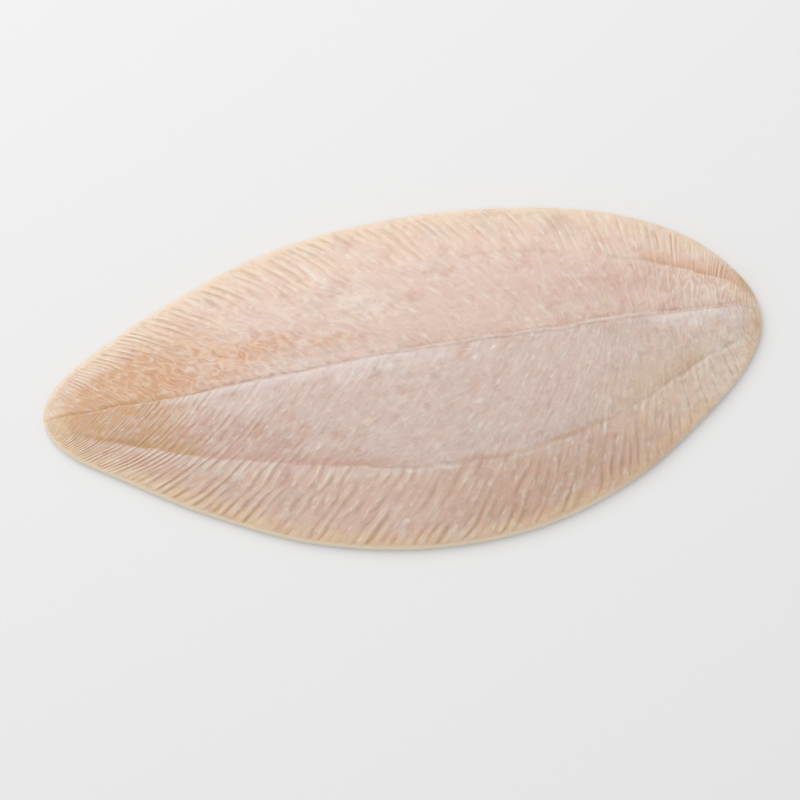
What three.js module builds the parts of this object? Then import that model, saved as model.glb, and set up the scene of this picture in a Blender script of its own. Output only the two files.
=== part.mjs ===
// A dressed sole: skinned, with its head and tail fin cut off and its fins trimmed, lying flat.
// It is one solid. Millimetres, +X to the head end, +Y to the upper edge, +Z up.

import * as THREE from 'three';
import { mergeVertices } from 'three/addons/utils/BufferGeometryUtils.js';

// Driving dimensions.
const length = 268.7;
const rimHeight = 3.4; // thickness of the thin edge, just inside its rounding
const rimMiddle = 1.4; // height of the line where the edge is widest
const rimRound = 1.8; // how far in the top of the edge is rounded
const underRound = 2.4; // how far in the underside lifts off what it lies on
const marginWidth = 5.0; // smooth strip along the edge, past the ends of the ribs

// Grooves: one along the backbone and a seam on each side of it, between fillet and fin muscle.
const centreGroove = 1.1;
const seamGroove = 0.8;
const underGroove = 0.6;
const grooveReach = 1.8; // from the bottom of a groove to its shoulder
const grooveFade = 9.0; // a groove runs out over this distance from the edge
const centreLip = { upper: 0.1, lower: 0.5 }; // the lower fillet's shoulder stands higher

// Muscle ribs, which sweep back to the tail on their way out to the edge.
const ribs = 100; // on each side
const ribHeight = 0.3; // crest above, and valley below, the smooth form
const ribFadeStart = 2.5; // no ribs closer to the edge than this
const ribFadeEnd = 8.0; // full ribs from here inwards
// How strongly the ribs stand on each row of points, from shoulder to shoulder of the fillet,
// and from the seam's shoulder to the smooth margin of the fin muscle.
const filletRibbing = [0.1, 0.35, 0.35, 0.25];
const finRibbing = [0.6, 1.0, 1.0, 0.8];

// The fish seen from above. Every list gives a line's value at even steps of the angle a that
// runs from 0 at the tail to PI at the head end, where x = -length / 2 * cos(a), so that the
// steps are closer at the round ends. The value is 0 at both ends, and the lists leave it out.
const plan = {
  centre: line([1.0, 1.5, 2.3, 4.5, 6.6, 6.5, 6.7, 5.7, 4.6]),
  upper: {
    seam: line([4.4, 13.5, 22.5, 32.3, 37.4, 37.0, 29.9, 20.7, 11.0]),
    edge: line([12.5, 24.4, 38.0, 50.4, 55.4, 54.0, 47.5, 35.0, 17.3]),
  },
  lower: {
    seam: line([-4.4, -11.1, -20.3, -28.6, -35.6, -35.7, -26.4, -12.7, -6.3]),
    edge: line([-12.6, -25.5, -43.0, -59.2, -67.1, -65.4, -53.1, -33.6, -15.9]),
  },
};

// Height of the back above the rim, along the centre groove.
const crown = line([1.5, 4.0, 8.5, 13.0, 16.0, 16.5, 13.5, 8.5, 4.0]);

// How far a rib runs back, as an angle a, across the fillet and across the fin muscle.
const filletSweep = line([0.14, 0.19, 0.225, 0.25, 0.265, 0.21, 0.06, -0.01, -0.04]);
const finSweep = line([0.13, 0.23, 0.23, 0.195, 0.19, 0.155, 0.06, -0.045, -0.09]);
const sweepShare = {
  upper: { fillet: 0.8, fin: 0.7 },
  lower: { fillet: 1.0, fin: 1.0 },
};

// The cross-section falls from the crown to the rim as (1 - share ^ fullness) ^ easing.
const seamShare = 0.6; // share of the way out at which a seam lies
const fullness = 2.2;
const easing = 1.15;

// The mesh: a column of points on each crest and in each valley, from the centre to the edge.
const columns = 2 * ribs;
const endColumns = 4; // columns left out next to each end, where they would crowd
const underStep = 4; // the flat underside uses every fourth column
const columnEase = -0.15; // 0 spaces the columns evenly by angle, less packs them at the ends
const widestShoulder = 0.3; // share of a band's width that a shoulder takes at most

// A smooth curve through the values, which starts and ends at 0 and is odd about both ends.
function line(values) {
  const heights = [-values[0], 0, ...values, 0, -values[values.length - 1]];
  const points = heights.map((height, index) => new THREE.Vector2(index, height));
  const curve = new THREE.SplineCurve(points);
  const steps = values.length + 1;
  return (angle) => curve.getPoint((1 + (steps * angle) / Math.PI) / (steps + 2)).y;
}

function alongFish(angle) {
  return (-length / 2) * Math.cos(angle);
}

function clamp01(value) {
  return Math.min(1, Math.max(0, value));
}

// The outline as a closed list of points, which gives the distance to the edge.
const outlineSteps = 240;
const outline = [];
for (const side of ['upper', 'lower']) {
  for (let step = 0; step < outlineSteps; step++) {
    const travel = step / outlineSteps;
    const angle = Math.PI * (side === 'upper' ? travel : 1 - travel);
    outline.push(new THREE.Vector2(alongFish(angle), plan[side].edge(angle)));
  }
}

function distanceToSegment(point, start, end) {
  const along = end.clone().sub(start);
  const share = clamp01(point.clone().sub(start).dot(along) / along.lengthSq());
  return point.distanceTo(start.clone().addScaledVector(along, share));
}

function distanceToEdge(point) {
  let nearest = Infinity;
  outline.forEach((start, index) => {
    const end = outline[(index + 1) % outline.length];
    nearest = Math.min(nearest, distanceToSegment(point, start, end));
  });
  return nearest;
}

// Quarter of an ellipse: 0 at the edge and 1 from the rounding's full reach inwards.
function rounding(distance, reach) {
  const inward = 1 - clamp01(distance / reach);
  return Math.sqrt(1 - inward * inward);
}

function topHeight(point, share, distance) {
  const angle = Math.acos(THREE.MathUtils.clamp(-point.x / (length / 2), -1, 1));
  const fall = Math.pow(1 - Math.pow(share, fullness), easing);
  const rim = rimMiddle + (rimHeight - rimMiddle) * rounding(distance, rimRound);
  return rim + crown(angle) * fall * rounding(distance, 2 * rimRound);
}

// Where one column of the mesh crosses the centre, its side's seam and the edge.
function columnLines(side, travel) {
  const ease = (columnEase * Math.sin(2 * Math.PI * travel)) / (2 * Math.PI);
  const angle = Math.PI * (travel + ease);
  const share = sweepShare[side];
  const centreAngle = angle + filletSweep(angle);
  const seamAngle = centreAngle - share.fillet * filletSweep(angle);
  const edgeAngle = seamAngle - share.fin * finSweep(seamAngle);
  return {
    centre: new THREE.Vector2(alongFish(centreAngle), plan.centre(centreAngle)),
    seam: new THREE.Vector2(alongFish(seamAngle), plan[side].seam(seamAngle)),
    edge: new THREE.Vector2(alongFish(edgeAngle), plan[side].edge(edgeAngle)),
  };
}

// A row for each ribbing value, from `first` inside one side of a band to `last` inside the other.
function bandRows(from, to, first, last, ribbing) {
  const width = from.distanceTo(to) || 1;
  const start = Math.min(first / width, widestShoulder);
  const end = 1 - Math.min(last / width, widestShoulder);
  return ribbing.map((strength, index) => {
    const stop = THREE.MathUtils.lerp(start, end, index / (ribbing.length - 1));
    return { from, to, stop, lift: 0, ribbing: strength };
  });
}

// One top column, from the centre groove to the edge.
function topColumn(side, column) {
  const { centre, seam, edge } = columnLines(side, column / columns);
  const rimShare = Math.min(rimRound / 3 / (seam.distanceTo(edge) || 1), 0.1);
  const fillet = bandRows(centre, seam, grooveReach, grooveReach, filletRibbing);
  fillet[0].lift = centreLip[side];
  const rows = [
    { from: centre, to: seam, stop: 0, lift: -centreGroove, ribbing: 0 },
    ...fillet,
    { from: seam, to: edge, stop: 0, lift: -seamGroove, ribbing: 0 },
    ...bandRows(seam, edge, grooveReach, marginWidth, finRibbing),
    { from: seam, to: edge, stop: 1 - rimShare, lift: 0, ribbing: 0 },
    { from: seam, to: edge, stop: 1, lift: 0, ribbing: 0 },
  ];
  const crest = column % 2 === 0 ? 1 : -1;
  const unevenness = 0.75 + 0.25 * Math.sin(1.9 * column);
  return rows.map(({ from, to, stop, lift, ribbing }) => {
    const point = from.clone().lerp(to, stop);
    const share = to === seam ? seamShare * stop : seamShare + (1 - seamShare) * stop;
    const distance = distanceToEdge(point);
    const ribFade = clamp01((distance - ribFadeStart) / (ribFadeEnd - ribFadeStart));
    const relief = lift * clamp01(distance / grooveFade)
      + crest * unevenness * ribbing * ribHeight * ribFade;
    return new THREE.Vector3(point.x, point.y, topHeight(point, share, distance) + relief);
  });
}

// One underside column, from the edge to the centre groove.
function underColumn(side, column) {
  const { centre, seam, edge } = columnLines(side, column / columns);
  const filletWidth = centre.distanceTo(seam) || 1;
  const finWidth = seam.distanceTo(edge) || 1;
  const shoulder = Math.min(grooveReach / filletWidth, widestShoulder);
  const rows = [
    { from: edge, to: seam, stop: Math.min(underRound / finWidth, 0.45), groove: 0 },
    { from: edge, to: seam, stop: 1 - Math.min(grooveReach / finWidth, widestShoulder), groove: 0 },
    { from: edge, to: seam, stop: 1, groove: underGroove },
    { from: seam, to: centre, stop: shoulder, groove: 0 },
    { from: seam, to: centre, stop: 1 - shoulder, groove: 0 },
    { from: seam, to: centre, stop: 1, groove: underGroove },
  ];
  return rows.map(({ from, to, stop, groove }) => {
    const point = from.clone().lerp(to, stop);
    const distance = distanceToEdge(point);
    const rim = rimMiddle * (1 - rounding(distance, 0.9 * underRound));
    return new THREE.Vector3(point.x, point.y, rim + groove * clamp01(distance / grooveFade));
  });
}

// Triangles are kept as a flat list of corners. One whose corners coincide, at the two ends
// of the fish, is left out.
const corners = [];

function addTriangle(first, second, third, flip) {
  const touching = first.distanceTo(second) < 1e-6
    || second.distanceTo(third) < 1e-6
    || third.distanceTo(first) < 1e-6;
  if (touching) return;
  corners.push(first, flip ? third : second, flip ? second : third);
}

// The strip between two neighbouring columns with equally many points.
function stitch(left, right, flip) {
  for (let row = 0; row + 1 < left.length; row++) {
    addTriangle(left[row], right[row], right[row + 1], flip);
    addTriangle(left[row], right[row + 1], left[row + 1], flip);
  }
}

// The strip between the closely spaced edge and one step of the underside's first row.
function fan(edgePoints, left, right, flip) {
  const middle = Math.floor(edgePoints.length / 2);
  for (let index = 0; index + 1 < edgePoints.length; index++) {
    const inner = index < middle ? left : right;
    addTriangle(edgePoints[index], edgePoints[index + 1], inner, flip);
  }
  addTriangle(left, edgePoints[middle], right, flip);
}

const usedColumns = [0];
for (let column = endColumns; column <= columns - endColumns; column++) {
  usedColumns.push(column);
}
usedColumns.push(columns);

for (const side of ['upper', 'lower']) {
  const flip = side === 'lower';
  const top = usedColumns.map((column) => topColumn(side, column));
  for (let index = 0; index + 1 < top.length; index++) {
    stitch(top[index], top[index + 1], flip);
  }
  const edge = new Map(usedColumns.map((column, index) => [column, top[index].at(-1)]));
  for (let column = 0; column < columns; column += underStep) {
    const left = underColumn(side, column);
    const right = underColumn(side, column + underStep);
    const stretch = usedColumns.filter((used) => used >= column && used <= column + underStep);
    fan(stretch.map((used) => edge.get(used)), left[0], right[0], flip);
    stitch(left, right, flip);
  }
}

// The outline's box is centred on the origin.
const positions = new Float32Array(corners.flatMap((corner) => corner.toArray()));
const soup = new THREE.BufferGeometry();
soup.setAttribute('position', new THREE.BufferAttribute(positions, 3));
const solid = mergeVertices(soup, 1e-4);
solid.computeBoundingBox();
const middle = solid.boundingBox.getCenter(new THREE.Vector3());
solid.translate(-middle.x, -middle.y, -solid.boundingBox.min.z);
solid.computeVertexNormals();

const flesh = new THREE.MeshStandardMaterial({
  color: '#d9bfb0',
  roughness: 0.45,
  metalness: 0,
});

const sole = new THREE.Mesh(solid, flesh);
sole.name = 'sole_fish';

const group = new THREE.Group();
group.add(sole);

export default group;
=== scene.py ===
"""A dressed raw sole, lying flat on a pale floor and seen from straight above.

The fish is one piece. Its smooth form is worked out from the lines of its plan and its
cross-section, Geometry Nodes raise the muscle ribs, fibres and wrinkles on it, and one procedural
material gives the moist flesh its colours. The file is laid out as an add-on and run as a script.
"""

import math
from collections import namedtuple

import bmesh
import bpy
import numpy as np
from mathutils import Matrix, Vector


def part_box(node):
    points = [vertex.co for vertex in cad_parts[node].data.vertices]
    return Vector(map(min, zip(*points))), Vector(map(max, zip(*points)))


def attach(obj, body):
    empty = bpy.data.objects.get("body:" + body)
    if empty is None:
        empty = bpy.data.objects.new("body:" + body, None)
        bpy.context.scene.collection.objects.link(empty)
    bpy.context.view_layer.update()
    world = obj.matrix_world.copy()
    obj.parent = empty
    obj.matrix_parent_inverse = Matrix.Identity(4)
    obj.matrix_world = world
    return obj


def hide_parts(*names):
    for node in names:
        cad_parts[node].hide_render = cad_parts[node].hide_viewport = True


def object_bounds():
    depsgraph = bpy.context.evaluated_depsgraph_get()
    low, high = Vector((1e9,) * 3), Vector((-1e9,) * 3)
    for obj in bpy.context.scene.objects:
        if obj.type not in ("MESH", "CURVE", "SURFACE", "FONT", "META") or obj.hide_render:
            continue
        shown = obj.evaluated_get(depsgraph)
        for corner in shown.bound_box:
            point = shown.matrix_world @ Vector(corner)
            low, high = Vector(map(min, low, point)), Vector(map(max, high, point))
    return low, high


bl_info = {
    "name": "Dressed sole",
    "version": (1, 0, 0),
    "blender": (4, 5, 0),
    "location": "3D View > Sidebar > Sole",
    "description": "Builds a dressed raw sole with its muscle ribs, and a studio stage for it",
    "category": "Add Mesh",
}

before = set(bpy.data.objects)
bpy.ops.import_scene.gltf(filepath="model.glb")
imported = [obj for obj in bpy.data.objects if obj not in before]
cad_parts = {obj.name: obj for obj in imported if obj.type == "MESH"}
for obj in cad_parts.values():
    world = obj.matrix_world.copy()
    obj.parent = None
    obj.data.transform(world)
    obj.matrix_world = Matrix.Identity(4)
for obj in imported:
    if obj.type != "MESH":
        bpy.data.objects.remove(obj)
CAD_LOW, CAD_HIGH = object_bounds()
NODE = "sole_fish"
NODE_LOW, NODE_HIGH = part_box(NODE)

MM = 0.001
LENGTH = NODE_HIGH.x - NODE_LOW.x

# ------------------------------------------------------------------------------------------
# The lines of the fish
# ------------------------------------------------------------------------------------------


def line(values, unit=MM):
    """A smooth curve through values at even steps of the angle that runs from 0 at the tail to
    pi at the head end, where x = -LENGTH / 2 * cos(angle). It is 0 at both ends."""
    inner = np.array([0.0, *values, 0.0]) * unit
    knots = np.concatenate([[-inner[1]], inner, [-inner[-2]]])
    steps = len(inner) - 1

    def curve(angle):
        place = np.clip(np.asarray(angle) / np.pi * steps, 0, steps - 1e-9)
        first = place.astype(int)
        share = place - first
        before, start, end, after = (knots[first + offset] for offset in range(4))
        slope = end - before
        square = 2 * before - 5 * start + 4 * end - after
        cube = 3 * start - before - 3 * end + after
        return start + 0.5 * (slope * share + square * share**2 + cube * share**3)

    return curve


# Seen from above, in mm from the chord between the two ends.
CENTRE_LINE = line([1.0, 1.5, 2.3, 4.5, 6.6, 6.5, 6.7, 5.7, 4.6])
SEAM_LINE = {
    1: line([4.4, 13.5, 22.5, 32.3, 37.4, 37.0, 29.9, 20.7, 11.0]),
    -1: line([-4.4, -11.1, -20.3, -28.6, -35.6, -35.7, -26.4, -12.7, -6.3]),
}
EDGE_LINE = {
    1: line([12.5, 24.4, 38.0, 50.4, 55.4, 54.0, 47.5, 35.0, 17.3]),
    -1: line([-12.6, -25.5, -43.0, -59.2, -67.1, -65.4, -53.1, -33.6, -15.9]),
}
# Height of the back above the rim, in mm.
CROWN_LINE = line([1.5, 4.0, 8.5, 13.0, 16.0, 16.5, 13.5, 8.5, 4.0])
# How far a rib runs back towards the tail, as an angle, across the fillet and the fin muscle.
FILLET_SWEEP = line([0.14, 0.19, 0.225, 0.25, 0.265, 0.21, 0.06, -0.01, -0.04], 1.0)
FIN_SWEEP = line([0.13, 0.23, 0.23, 0.195, 0.19, 0.155, 0.06, -0.045, -0.09], 1.0)
SWEEP_SHARE = {1: (0.8, 0.7), -1: (1.0, 1.0)}
RIB_BEND = -0.25  # how far a rib bows between the two ends of its sweep
RIB_EASE = -0.15  # draws the ribs' angles closer together at the ends of the fish
# How strongly the ribs stand out along each fin muscle and each fillet.
FIN_RIBBING = {
    1: line([0.7, 1.4, 1.4, 1.3, 1.3, 0.8, 0.7, 1.0, 1.0], 1.0),
    -1: line([0.9, 1.5, 1.5, 1.1, 1.0, 0.95, 0.9, 0.9, 0.9], 1.0),
}
FILLET_RIBBING = {
    1: line([0.2, 0.2, 0.3, 0.4, 0.5, 0.3, 0.2, 0.2, 0.2], 1.0),
    -1: line([0.3, 0.8, 0.9, 0.6, 0.3, 0.25, 0.25, 0.25, 0.2], 1.0),
}
# How closely the ribs follow one another on each side.
RIB_PACE = {
    1: line([1.1, 1.15, 1.25, 1.2, 1.1, 1.05, 1.05, 1.35, 1.4], 1.0),
    -1: line([1.2, 1.35, 1.2, 1.0, 0.95, 1.0, 1.0, 1.0, 1.0], 1.0),
}

# The cross-section falls from the crown to the rim as (1 - share ** FULLNESS) ** EASING.
SEAM_SHARE = 0.6  # share of the way out at which a seam lies
FULLNESS = 2.2
EASING = 1.15


def along_fish(angle):
    return -LENGTH / 2 * np.cos(angle)


def angle_at(x):
    return np.arccos(np.clip(-x / (LENGTH / 2), -1, 1))


def smooth(value, low, high):
    """0 below low and 1 above high, or the other way round where low is above high."""
    share = np.clip((value - low) / (high - low), 0, 1)
    return share * share * (3 - 2 * share)


def rounding(distance, reach):
    """Quarter of an ellipse: 0 at the edge, and 1 from its full reach inwards."""
    inward = 1 - np.clip(distance / reach, 0, 1)
    return np.sqrt(1 - inward * inward)


def outline_points(steps=240):
    """Points round the outline: along the upper edge to the head end, and back below."""
    travel = np.arange(steps) / steps
    there = np.pi * travel
    back = np.pi * (1 - travel)
    x = np.concatenate([along_fish(there), along_fish(back)])
    y = np.concatenate([EDGE_LINE[1](there), EDGE_LINE[-1](back)])
    return np.stack([x, y], axis=1)


def distance_to_edge(x, y):
    """Shortest distance from each point to the outline."""
    start = outline_points()
    along = np.roll(start, -1, axis=0) - start
    reach = (along**2).sum(1)
    nearest = np.full(x.shape, np.inf)
    for (x0, y0), (dx, dy), squared in zip(start, along, reach):
        share = np.clip(((x - x0) * dx + (y - y0) * dy) / squared, 0, 1)
        nearest = np.minimum(nearest, np.hypot(x - x0 - share * dx, y - y0 - share * dy))
    return nearest


# ------------------------------------------------------------------------------------------
# Marks on the flesh
# ------------------------------------------------------------------------------------------

# A long, soft mark beside one of three lines: the groove on the backbone, where offsets run
# towards the upper edge, and the two seams, where they run outwards. From its offset it fades
# out over low towards smaller offsets and over high towards larger ones. It runs from start to
# end along the fish and fades beyond them, all in mm. Its rise is a share of the groove's depth,
# and broken is how much of its colour the grain takes away.
# A mark that sinks, with a negative rise, is painted shade in its groove, in brown, ochre or
# blush, partly the flesh's own colour; one that rises is a lip lit by the key light, whose white
# or lavender is partly painted highlight. Marks that neither rise nor sink are the flesh's own
# colour.
Mark = namedtuple("Mark", "line offset low high start end fade rise tint strength broken")
GROOVE, UPPER_SEAM, LOWER_SEAM = range(3)
MARKS = (
    Mark(GROOVE, 0.6, 0.8, 2.8, -126, -96, 14, -0.3, "ochre_and_hollow_shade", 0.6, 0.2),
    Mark(GROOVE, 0.3, 0.6, 1.0, -122, -76, 10, -0.4, "crease_brown_and_shade", 0.28, 0.4),
    Mark(GROOVE, -0.9, 0.8, 1.1, -110, -60, 14, 0.3, "whitish_skin_and_glint", 0.22, 0.6),
    Mark(GROOVE, 0.5, 0.8, 1.3, -70, -44, 8, -0.5, "crease_brown_and_shade", 0.5, 1.0),
    Mark(GROOVE, 0.4, 0.7, 0.9, -40, -14, 8, -0.3, "crease_brown_and_shade", 0.22, 0.7),
    Mark(GROOVE, -1.6, 4.5, 1.4, -80, 4, 14, 0.4, "lavender", 0.75, 0.2),
    Mark(GROOVE, 1.2, 0.8, 1.2, 4, 90, 6, -0.3, "crease_brown_and_shade", 0.2, 0.9),
    Mark(GROOVE, -1.0, 0.8, 0.8, 4, 92, 6, -0.3, "crease_brown_and_shade", 0.18, 0.9),
    Mark(GROOVE, 1.4, 0.9, 1.8, 66, 82, 5, -0.2, "crease_brown_and_shade", 0.22, 0.5),
    Mark(GROOVE, 0.1, 0.8, 0.9, -8, 92, 8, 0.4, "lavender", 0.7, 0.75),
    Mark(GROOVE, 1.2, 0.6, 1.2, 97, 102, 2, -0.6, "crease_brown_and_shade", 0.5, 0.4),
    Mark(GROOVE, 0.9, 0.7, 0.9, 104, 126, 6, -0.4, "crease_brown_and_shade", 0.25, 0.7),
    Mark(GROOVE, -0.8, 2.6, 0.9, 98, 114, 14, 0.3, "lavender", 0.8, 0.15),
    Mark(UPPER_SEAM, 0.0, 1.8, 1.6, 32, 62, 10, -0.2, "crease_brown_and_shade", 0.14, 0.5),
    Mark(UPPER_SEAM, 0.4, 0.6, 6.0, 98, 124, 8, 0.0, "orange", 0.75, 0.3),
    Mark(UPPER_SEAM, 0.2, 1.2, 1.4, 84, 100, 6, -0.4, "crease_brown_and_shade", 0.25, 0.3),
    Mark(UPPER_SEAM, 0.6, 0.7, 1.6, 102, 120, 6, -0.3, "crease_brown_and_shade", 0.22, 0.8),
    Mark(LOWER_SEAM, -0.6, 2.2, 1.0, -116, -102, 8, -0.4, "ochre_and_hollow_shade", 0.7, 0.1),
    Mark(LOWER_SEAM, -0.2, 6.5, 0.7, -102, -80, 10, -0.4, "ochre_and_hollow_shade", 0.65, 0.15),
    Mark(LOWER_SEAM, -0.2, 7.0, 1.1, -72, -14, 12, -0.4, "blush", 0.75, 0.3),
    Mark(LOWER_SEAM, 1.6, 1.2, 9.0, -104, 8, 10, 0.2, "lavender", 0.3, 0.6),
    Mark(LOWER_SEAM, 0.0, 1.4, 1.0, -24, 12, 6, -0.3, "crease_brown_and_shade", 0.2, 0.5),
    Mark(LOWER_SEAM, 2.0, 1.0, 1.3, -3, 16, 3, 0.3, "whitish_skin_and_glint", 0.45, 0.8),
    Mark(LOWER_SEAM, -0.3, 2.4, 1.6, 20, 66, 6, -0.3, "ochre_and_hollow_shade", 0.5, 0.6),
    Mark(LOWER_SEAM, 1.6, 0.8, 1.0, 37, 55, 3, 0.2, "lavender", 0.4, 0.8),
    Mark(LOWER_SEAM, 0.0, 1.6, 1.2, 68, 88, 5, -0.2, "crease_brown_and_shade", 0.12, 0.7),
    Mark(LOWER_SEAM, -0.4, 6.0, 0.8, 94, 106, 8, 0.0, "ochre_and_hollow_shade", 0.3, 0.4),
    Mark(LOWER_SEAM, 0.0, 1.0, 0.9, 96, 120, 6, -0.3, "crease_brown_and_shade", 0.22, 0.7),
    Mark(LOWER_SEAM, 1.4, 0.7, 1.2, 92, 122, 6, 0.2, "whitish_skin_and_glint", 0.3, 0.6),
)

# A soft oval area: its middle, length and width in mm on the plan, its turn in degrees and its
# strength. A stain is one that has a colour.
Patch = namedtuple("Patch", "x y length width turn strength")
Stain = namedtuple("Stain", "x y length width turn tint strength")
STAINS = (
    Stain(-96, 9, 56, 18, 6, "orange", 0.65),
    Stain(-72, 14, 34, 14, 5, "orange", 0.7),
    Stain(-48, 16, 30, 9, 4, "orange", 0.8),
    Stain(-24, 14, 24, 6, 2, "orange", 0.6),
    Stain(-91, 12, 9, 4, 0, "crease_brown_and_shade", 0.4),
    Stain(-66, 7, 40, 9, 5, "orange", 0.4),
    Stain(-36, 7.5, 34, 5, 4, "lavender", 0.35),
    Stain(-92, -10, 44, 9, -14, "ochre_and_hollow_shade", 0.4),
    Stain(-60, -16, 60, 16, -14, "blush", 0.6),
    Stain(-20, 1, 60, 9, 3, "lavender", 0.6),
    Stain(-10, 25, 22, 12, -10, "whitish_skin_and_glint", 0.55),
    Stain(-27, 39, 14, 3.0, -45, "whitish_skin_and_glint", 0.7),
    Stain(43, 10, 14, 8, 0, "whitish_skin_and_glint", 0.35),
    Stain(98, 12, 12, 6, -20, "whitish_skin_and_glint", 0.4),
    Stain(116, 11, 18, 6, -20, "whitish_skin_and_glint", 0.35),
    # Painted light: this lightens the flesh beside the groove at the head end, against the shade
    # of the groove's slope there.
    Stain(112, 2, 40, 7, -3, "lavender", 0.75),
    Stain(20, 3, 60, 6, 0, "lavender", 0.35),
    Stain(75, 18, 76, 12, -5, "blush", 0.3),
    Stain(84, -20, 40, 18, 22, "ochre_and_hollow_shade", 0.3),
    Stain(104, -11, 16, 7, 25, "ochre_and_hollow_shade", 0.25),
    Stain(132, -2, 4, 7, 0, "ochre_and_hollow_shade", 0.35),
    Stain(118, -19, 34, 22, 40, "whitish_skin_and_glint", 0.45),
    Stain(118, -7, 26, 12, 10, "whitish_skin_and_glint", 0.3),
    Stain(104, -38, 64, 9, 36, "whitish_skin_and_glint", 0.15),
    Stain(127, 9, 8, 16, 30, "ochre_and_hollow_shade", 0.3),
    Stain(130.5, 13, 5, 22, 30, "ochre_and_hollow_shade", 0.8),
    # Painted light: this lightens the lower side at the head end, whose slope is turned from the
    # key light.
    Stain(100, -19, 70, 32, 16, "upper_rim", 0.8),
    Stain(-66, -4, 40, 10, 3, "lavender", 0.4),
    Stain(-95, 14, 60, 24, 22, "tail", 0.35),
    Stain(-128, 4, 18, 28, 0, "lower_rim", 0.55),
    Stain(84, 23, 60, 12, -12, "blush", 0.3),
    Stain(122, 18, 14, 5, -45, "orange", 0.5),
    Stain(8, 24, 5, 6, 20, "ochre_and_hollow_shade", 0.4),
    Stain(54, -50, 110, 36, 12, "tan", 0.55),
)

# Where the flesh is wrinkled, and where the rib crests get more painted highlight than elsewhere.
WRINKLES = (
    Patch(-66, 15, 74, 24, 6, 0.6),
    Patch(-12, 24, 28, 20, -10, 0.4),
    Patch(114, 12, 40, 14, -18, 0.5),
    Patch(108, -2, 46, 14, 0, 0.4),
    Patch(116, -18, 32, 14, 40, 0.7),
)
CREST_HIGHLIGHT_PATCHES = (
    Patch(-98, 25, 40, 16, 36, 0.25),
    Patch(104, 28, 44, 18, -36, 0.25),
    Patch(-58, -31, 30, 10, -18, 0.2),
    Patch(-38, -34, 20, 10, -15, 0.25),
)
# Where small pale flecks, painted as wet glints, lie closer together.
GLINT_FLECK_PATCHES = (
    Patch(106, 0, 60, 13, -2, 0.4),
    Patch(116, -17, 34, 14, 40, 0.5),
    Patch(36, -4, 40, 26, 0, 0.2),
    Patch(-62, -8, 40, 16, -10, 0.2),
)

# ------------------------------------------------------------------------------------------
# Settings
# ------------------------------------------------------------------------------------------


def linear(hex_colour):
    """Linear colour of an sRGB hex value."""
    parts = [int(hex_colour[i : i + 2], 16) / 255 for i in (1, 3, 5)]
    return (*[p / 12.92 if p <= 0.04045 else ((p + 0.055) / 1.055) ** 2.4 for p in parts], 1.0)


def length_setting(name, description, default):
    return bpy.props.FloatProperty(
        name=name, description=description, default=default, min=0.0, unit="LENGTH", precision=5
    )


def colour_setting(name, description, default):
    return bpy.props.FloatVectorProperty(
        name=name, description=description, default=linear(default), size=4, min=0.0, max=1.0,
        subtype="COLOR",
    )


class SoleShapeSettings(bpy.types.PropertyGroup):
    """Sizes of the fish."""

    rim_height: length_setting("Rim height", "Thickness just inside the edge", 3.4 * MM)
    rim_middle: length_setting("Rim middle", "Height at which the edge is widest", 1.4 * MM)
    rim_round: length_setting("Rim rounding", "Reach of the rounding on top", 1.8 * MM)
    under_round: length_setting("Underside rounding", "Reach of the rounding below", 2.4 * MM)
    groove_depth: length_setting("Groove depth", "Depth of the groove and the seams", 0.3 * MM)
    under_depth: length_setting("Underside depth", "Depth of the grooves underneath", 0.6 * MM)
    rib_height: length_setting("Rib height", "Height of the muscle ribs", 0.14 * MM)
    fibre_height: length_setting("Fibre height", "Height of the short fibres", 0.07 * MM)
    wrinkle_height: length_setting("Wrinkle height", "Height of the wrinkles", 0.15 * MM)
    ribs: bpy.props.IntProperty(
        name="Ribs", description="Number of muscle ribs on each side", default=100, min=20, max=120
    )
    seed: bpy.props.IntProperty(
        name="Seed", description="Changes the run of ribs and fibres", default=7, min=0
    )


class SoleColourSettings(bpy.types.PropertyGroup):
    """Colours of the flesh."""

    lower_fillet: colour_setting("Lower fillet", "Greyish pink flesh", "#d9c2b9")
    upper_fillet: colour_setting("Upper fillet", "Pale pink flesh", "#ddc3b6")
    lower_fin: colour_setting("Lower fin muscle", "Pinkish tan flesh", "#dbbdac")
    upper_fin: colour_setting("Upper fin muscle", "Peach flesh", "#e2c8b7")
    tan: colour_setting("Tan", "Deeper tan in the fin muscle", "#c9a48c")
    tail: colour_setting("Tail", "Yellowish tan flesh", "#d3aa86")
    # The lower rim's colour is painted nearly as light as the upper rim's, which offsets the shade
    # on the lower side, turned from the key light.
    lower_rim: colour_setting("Lower rim", "Pale tan edge", "#e3c6a5")
    upper_rim: colour_setting("Upper rim", "Cream edge", "#e5ceb8")
    # Painted highlight: the pale line round the edge is partly the lit top of the edge, and this
    # colour also lights the rib crests.
    margin: colour_setting("Margin", "Thin pale line round the edge", "#efdfc6")
    blush: colour_setting("Blush", "Warm pink flesh", "#cda592")
    grey: colour_setting("Grey", "Cool, greyish flesh", "#cfc0b5")
    # Painted shade: besides its own yellow-brown, this colour fills the hollows, the rib valleys
    # towards the edge and the shadows beside the grooves.
    ochre_and_hollow_shade: colour_setting("Ochre", "Yellow-brown in hollows", "#c29a6c")
    orange: colour_setting("Orange", "Orange-tan flesh", "#d4a585")
    # Painted shade: besides the flesh's own brown, this colour fills the rib valleys and the
    # grooves and seams, where shade falls.
    crease_brown_and_shade: colour_setting("Crease", "Brown in the seams and between the ribs", "#ad8268")
    # Partly painted highlight: the pale lips beside the groove and seams are lit by the key light.
    lavender: colour_setting("Lavender", "Cool, pale lips", "#e6d9d4")
    # Partly painted highlight: besides whitish skin, this colour paints the wet glints of the
    # flecks, the sheen of the fibre streaks and the lit lips.
    whitish_skin_and_glint: colour_setting("White", "Whitish skin left on the flesh", "#efe8e0")


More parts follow.
